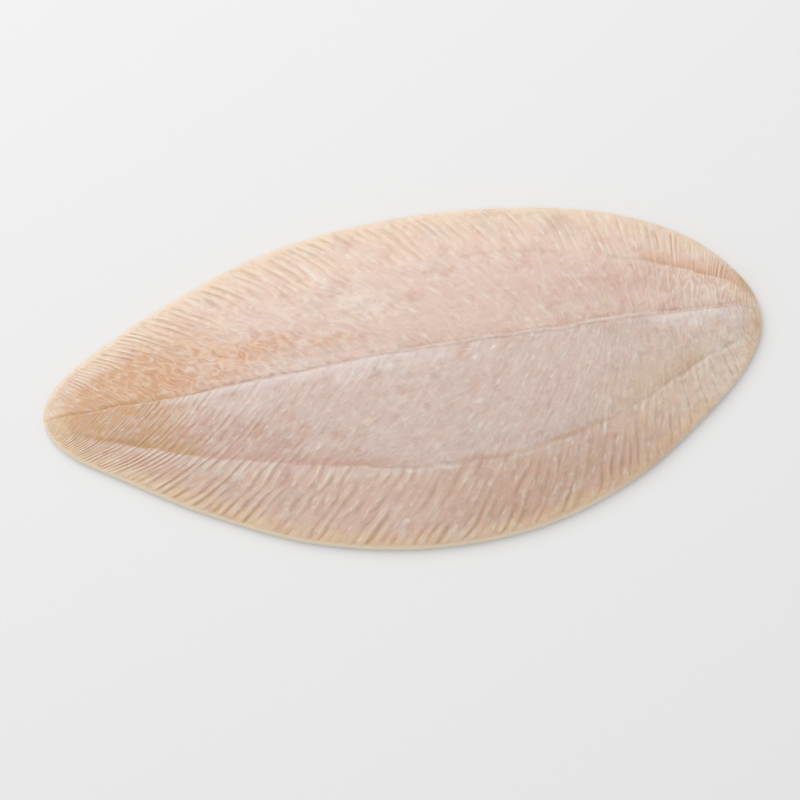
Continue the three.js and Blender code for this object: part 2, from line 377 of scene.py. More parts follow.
class SoleStageSettings(bpy.types.PropertyGroup):
    """The floor, lights and camera."""

    floor: colour_setting("Floor", "Pale floor", "#ededed")
    key_power: bpy.props.FloatProperty(
        name="Key light", description="Power of the key light", default=14.5, min=0.0,
        subtype="POWER",
    )
    sky: bpy.props.FloatProperty(
        name="Sky", description="Strength of the even light from all round", default=0.64, min=0.0
    )
    lens: bpy.props.FloatProperty(
        name="Lens", description="Focal length", default=85.0, min=20.0, unit="CAMERA"
    )


# ------------------------------------------------------------------------------------------
# Small helpers
# ------------------------------------------------------------------------------------------


def add(tree, kind, inputs=None, out=0, **settings):
    """Adds a node with its settings and links, and returns one of its outputs if it has any."""
    node = tree.nodes.new(kind)
    for name, value in settings.items():
        setattr(node, name, value)
    for key, value in (inputs or {}).items():
        if isinstance(value, bpy.types.NodeSocket):
            tree.links.new(value, node.inputs[key])
        else:
            node.inputs[key].default_value = value
    return node.outputs[out] if node.outputs else None


def grain(tree, place, sizes, detail, seed=0.0):
    """Noise from 0 to 1 whose grain has the given sizes, in the units of place."""
    if not isinstance(seed, bpy.types.NodeSocket):
        seed = (seed, seed, seed)
    scaled = add(tree, "ShaderNodeVectorMath",
                 {0: place, 1: [1 / size for size in sizes], 2: seed}, operation="MULTIPLY_ADD")
    return add(tree, "ShaderNodeTexNoise", {"Vector": scaled, "Scale": 1.0, "Detail": detail})


# ------------------------------------------------------------------------------------------
# The smooth body
# ------------------------------------------------------------------------------------------

COLUMNS_PER_RIB = 8
END_TRAVEL = 0.015  # from the tip at each end to the next column, as a share of the way
FILLET_ROWS = 22
FIN_ROWS = 18
UNDER_ROWS = 5
FILLET_EASE = 0.7
FIN_EASE = 0.5
CLOSING_ROWS = (0.45, 0.75, 0.92, 1.0)  # where the last step out to the edge is cut up
RIB_SPACING_MM = 3.0  # in the coordinate across the ribs, where they have an even pace
RIB_WAVER = 1.3
FAR_OFF_MM = -99.0
WELD_MM = 0.004
GROOVE_REACH_MM = 1.8  # underneath, from the bottom of a groove to its shoulder


def eased_rows(count, ease):
    """Shares from 0 to 1 that lie closer together at both ends."""
    share = np.linspace(0, 1, count + 1)
    return share - ease * np.sin(2 * np.pi * share) / (2 * np.pi)


def edge_rows(count):
    """Eased rows whose last steps close in on the edge, where the form turns over."""
    rows = eased_rows(count, FIN_EASE)
    last = rows[-2]
    closing = last + (1 - last) * np.array(CLOSING_ROWS)
    return np.concatenate([rows[:-1], closing])


class Half:
    """The grid of points on one side of the centre line: columns run from the tail to the head
    end, and rows from the centre line to the edge."""

    def __init__(self, side, shape, fillet_rows, fin_rows):
        count = shape.ribs * COLUMNS_PER_RIB
        inner = np.linspace(END_TRAVEL, 1 - END_TRAVEL, count)
        travel = np.concatenate([[0], inner, [1]])
        angle = np.pi * travel + 0.5 * RIB_EASE * np.sin(2 * np.pi * travel)
        fillet_share, fin_share = SWEEP_SHARE[side]
        sweep = FILLET_SWEEP(angle)
        centre_angle = angle + sweep
        seam_angle = centre_angle - fillet_share * sweep
        edge_angle = seam_angle - fin_share * FIN_SWEEP(seam_angle)
        centre = along_fish(centre_angle), CENTRE_LINE(centre_angle)
        seam = along_fish(seam_angle), SEAM_LINE[side](seam_angle)
        edge = along_fish(edge_angle), EDGE_LINE[side](edge_angle)
        fillet = self.band(centre, seam, fillet_rows)
        fin = self.band(seam, edge, fin_rows)
        self.x = np.concatenate([fillet[0][:, :-1], fin[0]], axis=1)
        self.y = np.concatenate([fillet[1][:, :-1], fin[1]], axis=1)
        shares = [fillet_rows[:-1] * SEAM_SHARE, SEAM_SHARE + fin_rows * (1 - SEAM_SHARE)]
        self.out = np.broadcast_to(np.concatenate(shares), self.x.shape)
        fillet_width = np.hypot(seam[0] - centre[0], seam[1] - centre[1])[:, None]
        fin_width = np.hypot(edge[0] - seam[0], edge[1] - seam[1])[:, None]
        inside = (fillet_rows[:-1] - 1) * fillet_width
        from_seam = np.concatenate([inside, fin_rows * fin_width], axis=1)
        # The groove and the seam waver a little on their way along the fish.
        x_mm = self.x / MM
        waver = 0.3 * np.sin(x_mm / 7.3) + 0.2 * np.sin(x_mm / 3.1 + 1.0)
        self.groove_mm = side * (from_seam + fillet_width) / MM + waver
        waver = 0.3 * np.sin(x_mm / 5.7 + side) + 0.25 * np.sin(x_mm / 2.3 + 2 * side)
        self.seam_mm = from_seam / MM + waver + 0.15 * np.sin(x_mm / 1.1)
        # Millimetres across the ribs, counted from the tail.
        pace = RIB_PACE[side](angle)
        ribs = np.concatenate([[0], np.cumsum(np.diff(travel) * (pace[1:] + pace[:-1]) / 2)])
        across = -side * ribs * shape.ribs * RIB_SPACING_MM
        self.across_mm = np.broadcast_to(across[:, None], self.x.shape)
        self.edge_mm = distance_to_edge(self.x, self.y) / MM
        self.edge_mm[:, -1] = 0.0
        self.side = side

    @staticmethod
    def band(start, end, rows):
        """Points across a band, on ribs that bend back on their way out."""
        bent = rows + RIB_BEND * rows * (1 - rows)
        x = start[0][:, None] + (end[0] - start[0])[:, None] * bent
        y = start[1][:, None] + (end[1] - start[1])[:, None] * rows
        return x, y

    def lines(self):
        """Distances in mm from the groove and the two seams; the far side's seam is far off."""
        far = np.full(self.x.shape, FAR_OFF_MM)
        seams = (self.seam_mm, far) if self.side == 1 else (far, self.seam_mm)
        return np.stack([self.groove_mm, *seams], axis=-1)


def top_height(half, shape):
    """The back, which falls from the crown to the rounded rim."""
    fall = (1 - np.minimum(half.out, 1) ** FULLNESS) ** EASING
    rise = shape.rim_height - shape.rim_middle
    edge = half.edge_mm * MM
    rim = shape.rim_middle + rise * rounding(edge, shape.rim_round)
    return rim + CROWN_LINE(angle_at(half.x)) * fall * rounding(edge, 2 * shape.rim_round)


def mark_span(mark):
    """The middle of a mark along the fish, and how far it reaches each way before it fades."""
    return (mark.start + mark.end) / 2, (mark.end - mark.start) / 2


def mark_relief(half, shape):
    """The grooves and lips of all marks, which run out at the edge."""
    x = half.x / MM
    lines = half.lines()
    relief = np.zeros(x.shape)
    for mark in MARKS:
        middle, reach = mark_span(mark)
        along = smooth(np.abs(x - middle), reach + mark.fade, reach)
        off = lines[..., mark.line] - mark.offset
        across = smooth(off, -mark.low, 0) * smooth(off, mark.high, 0)
        relief += mark.rise * along * across
    return shape.groove_depth * relief * smooth(half.edge_mm, 1.0, 6.0)


def under_height(half, shape):
    """Flat underside with shallow grooves and a rounded rim. A seam's groove dies out where it
    meets the one on the backbone, so that both halves have the same height there."""
    rim = shape.rim_middle * (1 - rounding(half.edge_mm * MM, 0.9 * shape.under_round))
    from_groove = np.abs(half.groove_mm)
    seams = smooth(np.abs(half.seam_mm), GROOVE_REACH_MM, 0) * smooth(from_groove, 0, 0.6)
    grooves = smooth(from_groove, GROOVE_REACH_MM, 0) + seams
    return rim + shape.under_depth * grooves * smooth(half.edge_mm, 1.5, 9.0)


MOST_WRINKLED = 1.1


def relief_shares(half, upside):
    """How much of each kind of relief shows, how much painted highlight its ridges and painted
    shade its valleys get, and how many pale streaks and flecks, painted sheen and glints, lie on
    it."""
    angle = angle_at(half.x)
    fin = smooth(half.seam_mm, -0.6, 1.2)
    ribbing = fin * FIN_RIBBING[half.side](angle) + (1 - fin) * FILLET_RIBBING[half.side](angle)
    inside = smooth(half.edge_mm, 0.6, 2.8)
    x, y = half.x / MM, half.y / MM
    wrinkled = 0.5 * (1 - fin) + sum(oval_mask(x, y, patch) for patch in WRINKLES)
    wrinkled = np.minimum(wrinkled, MOST_WRINKLED)
    pale = 0.3 + sum(oval_mask(x, y, patch) for patch in CREST_HIGHLIGHT_PATCHES)
    combed = 0.25
    if half.side == -1:
        # Towards the tail, the lower side is combed, with fewer wrinkles and pale rib tips, whose
        # paleness is painted highlight.
        combed = 0.25 + 0.4 * smooth(x, 10, -30)
        wrinkled = wrinkled * (1 - 0.6 * smooth(x, -20, -50))
        tips = smooth(half.seam_mm, 0, 1.5) * smooth(half.seam_mm, 12, 3)
        pale = pale + 0.3 * tips * smooth(x, 20, -10)
    return {
        "ribbing": ribbing * inside * (1 - 0.6 * wrinkled),
        "fibring": (1 - fin) * inside * combed,
        "wrinkling": wrinkled * upside,
        "crest_highlight": pale + 0.1 * (half.side == 1) * fin,
        "valley_shade": 0.32 - 0.12 * (half.side == 1) * fin,
        "sheen_streaks": (0.35 + 0.15 * fin) * (1 - 0.8 * wrinkled),
        "glint_flecks": 0.45 - 0.25 * fin + sum(oval_mask(x, y, patch) for patch in GLINT_FLECK_PATCHES),
    }


def fish_mesh(shape):
    """The smooth body as one closed mesh, with the attributes that the relief and the flesh
    follow."""
    blocks = []
    faces = []
    count = 0
    shift_x = (NODE_LOW.x + NODE_HIGH.x) / 2
    outline = outline_points()
    shift_y = (NODE_LOW.y + NODE_HIGH.y) / 2 - (outline[:, 1].min() + outline[:, 1].max()) / 2
    for side in (1, -1):
        for upside in (True, False):
            rows = (FILLET_ROWS, FIN_ROWS) if upside else (UNDER_ROWS, UNDER_ROWS)
            half = Half(side, shape, eased_rows(rows[0], FILLET_EASE), edge_rows(rows[1]))
            if upside:
                z = top_height(half, shape) + mark_relief(half, shape)
            else:
                z = under_height(half, shape)
            z = np.clip(z, 0, NODE_HIGH.z)
            columns, width = half.x.shape
            grid = np.arange(columns * width).reshape(columns, width) + count
            quads = np.stack([grid[:-1, :-1], grid[1:, :-1], grid[1:, 1:], grid[:-1, 1:]], axis=-1)
            faces.append(quads.reshape(-1, 4))
            count += columns * width
            flat = np.zeros(half.x.shape)
            blocks.append({
                "position": np.stack([half.x + shift_x, half.y + shift_y, z], axis=-1),
                "fibre": np.stack([half.across_mm, half.groove_mm, flat], axis=-1),
                "lines": half.lines(),
                "top": flat + upside,
                **relief_shares(half, upside),
                **area_masks(half),
            })
    mesh = bpy.data.meshes.new("sole_flesh")
    data = {key: np.concatenate([block[key].reshape(-1, *block[key].shape[2:])
                                 for block in blocks]) for key in blocks[0]}
    mesh.from_pydata(data.pop("position").tolist(), [], np.concatenate(faces).tolist())
    for name, values in data.items():
        kind, field = ("FLOAT_VECTOR", "vector") if values.ndim == 2 else ("FLOAT", "value")
        layer = mesh.attributes.new(name, kind, "POINT")
        layer.data.foreach_set(field, values.astype(np.float32).ravel())
    weld(mesh)
    return mesh


def weld(mesh):
    """Merges the points that the halves share, and turns every face outwards."""
    work = bmesh.new()
    work.from_mesh(mesh)
    bmesh.ops.remove_doubles(work, verts=work.verts, dist=WELD_MM * MM)
    bmesh.ops.dissolve_degenerate(work, edges=work.edges, dist=0.001 * MM)
    bmesh.ops.recalc_face_normals(work, faces=work.faces)
    work.to_mesh(mesh)
    work.free()
    mesh.polygons.foreach_set("use_smooth", [True] * len(mesh.polygons))


# ------------------------------------------------------------------------------------------
# Where the flesh changes colour
# ------------------------------------------------------------------------------------------

# Soft areas of colour, from the first laid to the last, and how much the grain breaks each up.
AREAS = {
    "upper_fillet": 0.0,
    "lower_fin": 0.0,
    "upper_fin": 0.0,
    "tan": 0.2,
    "tail": 0.2,
    "lower_rim": 0.3,
    "upper_rim": 0.3,
    "blush": 0.3,
    "ochre_and_hollow_shade": 0.3,
    "orange": 0.6,
    "lavender": 0.4,
    "whitish_skin_and_glint": 0.5,
    "crease_brown_and_shade": 0.7,
}
OVAL_EDGE = 1.3  # above 1, the middle of an oval is flatter and its edge steeper


def oval_mask(x, y, oval):
    """How strongly a patch or a stain shows at each point."""
    turned = math.radians(oval.turn)
    dx = x - oval.x
    dy = y - oval.y
    u = (dx * math.cos(turned) + dy * math.sin(turned)) / (oval.length / 2)
    v = (dy * math.cos(turned) - dx * math.sin(turned)) / (oval.width / 2)
    return oval.strength * np.exp(-((u * u + v * v) ** OVAL_EDGE))


def area_masks(half):
    """Masks from 0 to 1 of the soft areas of colour."""
    x, y, edge = half.x / MM, half.y / MM, half.edge_mm
    groove, upper_seam, lower_seam = np.moveaxis(half.lines(), -1, 0)
    upper = smooth(groove, -1.2, 1.2)
    fin = smooth(half.seam_mm, -1, 3)
    masks = {
        "upper_fillet": upper,
        "lower_fin": smooth(lower_seam, -4, 8),
        "upper_fin": smooth(upper_seam, -9, 7),
        "tail": smooth(x, -50, -105) * (0.9 - 0.6 * fin) * smooth(edge, 1, 8),
        "lower_rim": (1 - upper) * smooth(edge, 10, 2),
        "upper_rim": upper * smooth(edge, 10, 2),
    }
    for tint in AREAS:
        masks.setdefault(tint, np.zeros(x.shape))
    for stain in STAINS:
        masks[stain.tint] = masks[stain.tint] + oval_mask(x, y, stain)
    shown = {tint: np.clip(masks[tint], 0, 1) for tint in AREAS}
    return {
        **shown,
        # Painted shade: how much ochre fills the rib valleys, more towards the edge on the lower
        # side, and on the upper side at the head end.
        "rim": smooth(edge, 14, 4) * (0.4 - 0.25 * upper) + 0.35 * upper * smooth(x, 86, 98),
        # The pale edge line is partly its own cream and partly painted highlight on the lit top of
        # the edge; it is painted stronger on the lower side, which the key light leaves in shade,
        # and fades towards the head end.
        "margin": (0.85 - 0.5 * upper) * smooth(edge, 2.2, 0.8) * (1 - 0.7 * smooth(x, 60, 90)),
    }


# ------------------------------------------------------------------------------------------
# Muscle ribs, fibres and wrinkles
# ------------------------------------------------------------------------------------------

RELIEF_SHARES = ("ribbing", "fibring", "wrinkling")
RELIEF_HEIGHTS = ("Rib height", "Fibre height", "Wrinkle height")

# Sizes in mm across the ribs and along them.
SWAY_MM = (14, 18, 1)
SWAP_MM = (9, 16, 1)
SWELL_MM = (6, 14, 1)
FINE_RIB_MM = (1.3, 9.0, 1)
TUFT_MM = (12, 12, 1)
FIBRE_MM = (1.3, 5.0, 1)
BEND_MM = (5, 6, 1)
BEND_REACH_MM = (4.5, 4.0, 0.0)
WRINKLE_MM = (3.0, 4.8, 1)
GLINT_FLECK_MM = (2.2, 4.6, 1)


def rib_wave(tree, fibre, seed):
    """Muscle ribs, from -1 to 1. Each is a ridge with a valley on its shaded side. They waver
    and swell, and two series of unlike spacing take turns, so that ribs fork and run out."""
    across = add(tree, "ShaderNodeSeparateXYZ", {0: fibre})
    sway = add(tree, "ShaderNodeMath",
               {0: grain(tree, fibre, SWAY_MM, 1.0, seed), 1: RIB_WAVER}, operation="MULTIPLY")
    phase = add(tree, "ShaderNodeMath", {0: across, 1: 1 / RIB_SPACING_MM, 2: sway},
                operation="MULTIPLY_ADD")
    waves = []
    for pace in (0.9, 1.2):
        turn = add(tree, "ShaderNodeMath", {0: phase, 1: pace * math.tau}, operation="MULTIPLY")
        slope = add(tree, "ShaderNodeMath", {0: turn}, operation="SINE")
        near = add(tree, "ShaderNodeMath", {0: turn}, operation="COSINE")
        near = add(tree, "ShaderNodeMath", {0: near, 1: -0.4, 2: -0.8}, operation="MULTIPLY_ADD")
        waves.append(add(tree, "ShaderNodeMath", {0: slope, 1: near}, operation="MULTIPLY"))
    swap = add(tree, "ShaderNodeMapRange",
               {0: grain(tree, fibre, SWAP_MM, 1.0, seed), 1: 0.4, 2: 0.6})
    wave = add(tree, "ShaderNodeMix", {0: swap, 2: waves[0], 3: waves[1]}, data_type="FLOAT")
    swell = add(tree, "ShaderNodeMapRange",
                {0: grain(tree, fibre, SWELL_MM, 2.0, seed), 1: 0.32, 2: 0.64, 3: 0.2, 4: 1.15})
    fine = add(tree, "ShaderNodeMapRange",
               {0: grain(tree, fibre, FINE_RIB_MM, 2.0, seed), 1: 0.3, 2: 0.7, 3: -0.3, 4: 0.3})
    return add(tree, "ShaderNodeMath", {0: wave, 1: swell, 2: fine}, operation="MULTIPLY_ADD")


def fibre_wave(tree, fibre, seed):
    """Short, uneven fibres from -1 to 1, which come in patches."""
    patchy = add(tree, "ShaderNodeMapRange",
                 {0: grain(tree, fibre, TUFT_MM, 1.0, seed), 1: 0.35, 2: 0.65, 3: 0.4, 4: 1.2})
    short = add(tree, "ShaderNodeMapRange",
                {0: grain(tree, fibre, FIBRE_MM, 2.0, seed), 1: 0.3, 2: 0.7, 3: -1.0, 4: 1.0})
    return add(tree, "ShaderNodeMath", {0: short, 1: patchy}, operation="MULTIPLY")


def bent_fibres(tree, fibre, seed):
    """The fibres' coordinates, bent by a soft noise."""
    bend = grain(tree, fibre, BEND_MM, 0.0, seed).node.outputs["Color"]
    return add(tree, "ShaderNodeVectorMath", {0: bend, 1: BEND_REACH_MM, 2: fibre},
               operation="MULTIPLY_ADD")


def wrinkle_wave(tree, bent, seed):
    """Curling wrinkles, up to 1: the ridges of a noise along bent fibres."""
    curl = grain(tree, bent, WRINKLE_MM, 0.0, seed)
    curl = add(tree, "ShaderNodeMath", {0: curl, 1: 0.5}, operation="SUBTRACT")
    curl = add(tree, "ShaderNodeMath", {0: curl}, operation="ABSOLUTE")
    return add(tree, "ShaderNodeMapRange", {0: curl, 1: 0.0, 2: 0.16, 3: 1.1, 4: -0.35},
               interpolation_type="SMOOTHSTEP")


def relief_waves(tree, fibre, bent, seed):
    """The three kinds of relief, in the order of RELIEF_SHARES. The fibre's x counts
    millimetres across the ribs, and its y along them."""
    return (rib_wave(tree, fibre, seed), fibre_wave(tree, fibre, seed),
            wrinkle_wave(tree, bent, seed))


PRESSED_MM = 0.35


def relief_tree():
    """Geometry Nodes that raise the ribs, fibres and wrinkles."""
    tree = bpy.data.node_groups.new("muscle relief", "GeometryNodeTree")
    face = tree.interface
    face.new_socket(name="Geometry", in_out="INPUT", socket_type="NodeSocketGeometry")
    for name in (*RELIEF_HEIGHTS, "Seed"):
        face.new_socket(name=name, in_out="INPUT", socket_type="NodeSocketFloat")
    face.new_socket(name="Flesh", in_out="INPUT", socket_type="NodeSocketMaterial")
    face.new_socket(name="Geometry", in_out="OUTPUT", socket_type="NodeSocketGeometry")
    group = tree.nodes.new("NodeGroupInput").outputs
    fibre = add(tree, "GeometryNodeInputNamedAttribute", {"Name": "fibre"},
                data_type="FLOAT_VECTOR")

    # Each kind rises by its height where it shows. The underside is pressed flat: its relief
    # only goes up into the fish, and a millimetre of it counts as PRESSED_MM.
    height = 0.0
    bent = bent_fibres(tree, fibre, group["Seed"])
    waves = relief_waves(tree, fibre, bent, group["Seed"])
    for wave, name, setting in zip(waves, RELIEF_SHARES, RELIEF_HEIGHTS):
        share = add(tree, "GeometryNodeInputNamedAttribute", {"Name": name}, data_type="FLOAT")
        shown = add(tree, "ShaderNodeMath", {0: wave, 1: share}, operation="MULTIPLY")
        height = add(tree, "ShaderNodeMath", {0: shown, 1: group[setting], 2: height},
                     operation="MULTIPLY_ADD")
    pressed = add(tree, "ShaderNodeMapRange", {0: height, 1: 0.0, 2: MM, 4: PRESSED_MM * MM})
    top = add(tree, "GeometryNodeInputNamedAttribute", {"Name": "top"}, data_type="FLOAT")
    height = add(tree, "ShaderNodeMix", {0: top, 2: pressed, 3: height}, data_type="FLOAT")
    offset = add(tree, "ShaderNodeCombineXYZ", {2: height})
    shape = add(tree, "GeometryNodeSetPosition",
                {"Geometry": group["Geometry"], "Offset": offset})
    real = add(tree, "GeometryNodeRealizeInstances", {"Geometry": shape})
    done = add(tree, "GeometryNodeSetMaterial", {"Geometry": real, "Material": group["Flesh"]})
    add(tree, "NodeGroupOutput", {0: done})
    return tree


def raise_relief(piece, shape, material):
    """Runs the relief tree on the piece and keeps the result as its plain mesh."""
    tree = relief_tree()
    sockets = {item.name: item.identifier for item in tree.interface.items_tree
               if item.in_out == "INPUT"}
    modifier = piece.modifiers.new("muscle relief", "NODES")
    modifier.node_group = tree
    values = {
        "Rib height": shape.rib_height,
        "Fibre height": shape.fibre_height,
        "Wrinkle height": shape.wrinkle_height,
        "Seed": float(shape.seed),
        "Flesh": material,
    }
    for name, value in values.items():
        modifier[sockets[name]] = value
    bpy.context.view_layer.update()
    graph = bpy.context.evaluated_depsgraph_get()
    baked = bpy.data.meshes.new_from_object(piece.evaluated_get(graph), depsgraph=graph)
    piece.modifiers.remove(modifier)
    piece.data = baked


# ------------------------------------------------------------------------------------------
# Flesh
# ------------------------------------------------------------------------------------------


def flesh_material(colours, seed):
    """Raw sole flesh, skinned: translucent, moist muscle in fine fibres. To the eye it is a
    soft, pale pink with light in it, tan and cream towards the thin edge, with brown creases
    between the ribs, small pale flecks and a broad, quiet sheen. Its colour also holds painted
    shade in the creases, rib valleys and hollows, and painted highlights on the rib crests, the
    edge line, the lips, the fibre streaks and the flecks."""
    material = bpy.data.materials.new("raw sole flesh, moist")
    material.use_nodes = True
    tree = material.node_tree
    tree.nodes.clear()
    body = add(tree, "ShaderNodeTexCoord", out="Object")
    fibre = add(tree, "ShaderNodeAttribute", out="Vector", attribute_name="fibre")
    lines = add(tree, "ShaderNodeAttribute", out="Vector", attribute_name="lines")
    lines = add(tree, "ShaderNodeSeparateXYZ", {0: lines}).node.outputs
    margin, crest_highlight, valley_shade, sheen_streaks, glint_flecks, rim = (
        add(tree, "ShaderNodeAttribute", out="Fac", attribute_name=name)
        for name in ("margin", "crest_highlight", "valley_shade", "sheen_streaks", "glint_flecks", "rim")
    )
    bent = bent_fibres(tree, fibre, float(seed))
    relief = 0.0
    for wave, name in zip(relief_waves(tree, fibre, bent, float(seed)), RELIEF_SHARES):
        share = add(tree, "ShaderNodeAttribute", out="Fac", attribute_name=name)
        relief = add(tree, "ShaderNodeMath", {0: wave, 1: share, 2: relief},
                     operation="MULTIPLY_ADD")
    in_mm = add(tree, "ShaderNodeVectorMath", {0: body, "Scale": 1 / MM}, operation="SCALE")
    along = add(tree, "ShaderNodeSeparateXYZ", {0: in_mm})

    # Each layer is a value, the two ends between which it comes in, its strength and its tint.
    layers = []
    blotches = grain(tree, body, (2.6 * MM,) * 3, 3.0)
    for tint, broken in AREAS.items():
        area = add(tree, "ShaderNodeAttribute", out="Fac", attribute_name=tint)
        kept = add(tree, "ShaderNodeMapRange",
                   {0: blotches, 1: 0.36, 2: 0.6, 3: 1 - broken, 4: 1.0})
        area = add(tree, "ShaderNodeMath", {0: area, 1: kept}, operation="MULTIPLY")
        layers.append((area, 0.0, 1.0, 1.0, tint))
    layers += [
        (grain(tree, body, (9 * MM,) * 3, 3.0, 1.0), 0.5, 0.75, 0.45, "blush"),
        (grain(tree, body, (13 * MM,) * 3, 3.0, 2.0), 0.5, 0.75, 0.35, "grey"),
        (grain(tree, body, (3.2 * MM,) * 3, 2.0, 8.0), 0.52, 0.75, 0.25, "whitish_skin_and_glint"),
        (grain(tree, body, (3.8 * MM,) * 3, 2.0, 9.0), 0.52, 0.75, 0.2, "crease_brown_and_shade"),
        # The pale streaks along the fibres are painted sheen.
        (grain(tree, fibre, (1.3, 6.0, 1.0), 2.0, 3.0), 0.57, 0.73, sheen_streaks, "whitish_skin_and_glint"),
        (grain(tree, fibre, (2.6, 9.0, 1.0), 1.0, 10.0), 0.55, 0.75, 0.2, "whitish_skin_and_glint"),
        (grain(tree, fibre, (2.0, 7.0, 1.0), 1.0, 4.0), 0.6, 0.8, 0.15, "crease_brown_and_shade"),
    ]
    # Pale flecks, painted as wet glints: one in each cell of a stretched pattern, of which some
    # are chosen.
    stretched = add(tree, "ShaderNodeVectorMath", {0: bent, 1: [1 / size for size in GLINT_FLECK_MM]},
                    operation="MULTIPLY")
    glint_fleck = add(tree, "ShaderNodeTexVoronoi", {"Vector": stretched, "Scale": 1.0})
    chosen = add(tree, "ShaderNodeSeparateColor", {0: glint_fleck.node.outputs["Color"]})
    chosen = add(tree, "ShaderNodeMapRange", {0: chosen, 1: 0.35, 2: 0.85, 4: glint_flecks})
    glint_fleck = add(tree, "ShaderNodeMapRange", {0: glint_fleck, 1: 0.42, 2: 0.12, 4: chosen})
    breaks = grain(tree, body, (4 * MM,) * 3, 2.0, 11.0)
    for mark in MARKS:
        middle, reach = mark_span(mark)
        off = add(tree, "ShaderNodeMath", {0: along, 1: middle}, operation="SUBTRACT")
        off = add(tree, "ShaderNodeMath", {0: off}, operation="ABSOLUTE")
        shown = add(tree, "ShaderNodeMapRange",
                    {0: off, 1: reach + mark.fade, 2: reach, 4: mark.strength},
                    interpolation_type="SMOOTHSTEP")
        kept = add(tree, "ShaderNodeMapRange",
                   {0: breaks, 1: 0.38, 2: 0.6, 3: 1 - mark.broken, 4: 1.0})
        shown = add(tree, "ShaderNodeMath", {0: shown, 1: kept}, operation="MULTIPLY")
        rising, falling = (
            add(tree, "ShaderNodeMapRange", {0: lines[mark.line], 1: outer, 2: mark.offset})
            for outer in (mark.offset - mark.low, mark.offset + mark.high)
        )
        across = add(tree, "ShaderNodeMath", {0: rising, 1: falling}, operation="MINIMUM")
        layers.append((across, 0.0, 1.0, shown, mark.tint))
    layers += [
        # Painted shade: brown in the rib valleys.
        (relief, -0.1, -1.1, valley_shade, "crease_brown_and_shade"),
        # Painted shade: ochre in the rib valleys towards the edge.
        (relief, -0.1, -0.9, rim, "ochre_and_hollow_shade"),
        # Painted highlight: the pale colour on the rib crests.
        (relief, 0.1, 1.1, crest_highlight, "margin"),
        # Painted wet glints: the pale flecks.
        (glint_fleck, 0.0, 1.0, 1.0, "whitish_skin_and_glint"),
        # The pale line round the edge, partly its own cream and partly painted highlight.
        (margin, 0.0, 1.0, 1.0, "margin"),
    ]

    colour = colours.lower_fillet
    for value, start, end, strength, tint in layers:
        mask = add(tree, "ShaderNodeMapRange", {0: value, 1: start, 2: end, 4: strength},
                   interpolation_type="SMOOTHSTEP")
        colour = add(tree, "ShaderNodeMix", {0: mask, 6: colour, 7: getattr(colours, tint)},
                     out=2, data_type="RGBA")

    gloss = add(tree, "ShaderNodeMapRange",
                {0: grain(tree, body, (5 * MM,) * 3, 3.0, 5.0), 1: 0.3, 2: 0.7, 3: 0.48, 4: 0.64})
    # Muscle fibres are about 0.1 mm thick, too fine to show, so the weave and the pores that
    # break up the sheen are drawn coarser than they are.
    weave = grain(tree, fibre, (0.7, 3.5, 1.0), 2.0, 6.0)
    pores = grain(tree, body, (1.1 * MM,) * 3, 2.0, 7.0)
    height = add(tree, "ShaderNodeMath", {0: weave, 1: 0.6, 2: pores}, operation="MULTIPLY_ADD")
    height = add(tree, "ShaderNodeMath", {0: relief, 1: 0.4, 2: height}, operation="MULTIPLY_ADD")
    height = add(tree, "ShaderNodeMath", {0: glint_fleck, 1: 0.8, 2: height}, operation="MULTIPLY_ADD")
    bump = add(tree, "ShaderNodeBump", {"Height": height, "Strength": 0.5, "Distance": 0.3 * MM})
    surface = add(tree, "ShaderNodeBsdfPrincipled", {
        "Base Color": colour,
        "Roughness": gloss,
        "IOR": 1.38,
        "Normal": bump,
        "Subsurface Weight": 0.35,
        "Subsurface Radius": (1.0, 0.55, 0.4),
        "Subsurface Scale": 1.2 * MM,
        "Coat Weight": 0.08,
        "Coat Roughness": 0.35,
    })
    add(tree, "ShaderNodeOutputMaterial", {"Surface": surface})
    return material


class SOLE_OT_fish(bpy.types.Operator):
    """Builds the dressed sole as one closed piece of ribbed flesh"""

    bl_idname = "sole.fish"
    bl_label = "Sole"

    def execute(self, context):
        shape = context.scene.sole_shape
        piece = bpy.data.objects.new("dressed_sole", fish_mesh(shape))
        context.scene.collection.objects.link(piece)
        raise_relief(piece, shape, flesh_material(context.scene.sole_colours, shape.seed))
        if len(piece.data.polygons) == 0:
            raise RuntimeError("the sole has no faces")
        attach(piece, "root")
        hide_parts(NODE)
        return {"FINISHED"}


# ------------------------------------------------------------------------------------------
# Stage
# ------------------------------------------------------------------------------------------

# Where the fish lies in the photo, in its pixels and from straight above.
PHOTO_WIDTH_PX = 800
FISH_LENGTH_PX = 726.8
FISH_CENTRE_PX = (404.9, 385.6)
FISH_TURN = math.radians(8.5)
EDGE_HEIGHT_MM = 3


def floor_material(colour):
    """Matt painted board. To the eye it is an even, pale surface that only takes shadows."""
    material = bpy.data.materials.new("matt painted board")
    material.use_nodes = True
    tree = material.node_tree
    tree.nodes.clear()
    surface = add(tree, "ShaderNodeBsdfPrincipled", {
        "Base Color": colour,
        "Roughness": 0.8,
        "Specular IOR Level": 0.2,
    })
    add(tree, "ShaderNodeOutputMaterial", {"Surface": surface})
    return material


def make_floor(scene, colour):
    """A wide floor, a hair below what the fish lies on so that the two don't share a plane."""
    size = 3.0
    mesh = bpy.data.meshes.new("floor")
    corners = [(-size, -size, 0), (size, -size, 0), (size, size, 0), (-size, size, 0)]
    mesh.from_pydata(corners, [], [(0, 1, 2, 3)])
    floor = bpy.data.objects.new("floor", mesh)
    mesh.materials.append(floor_material(colour))
    floor.location.z = CAD_LOW.z - 0.05 * MM
    scene.collection.objects.link(floor)


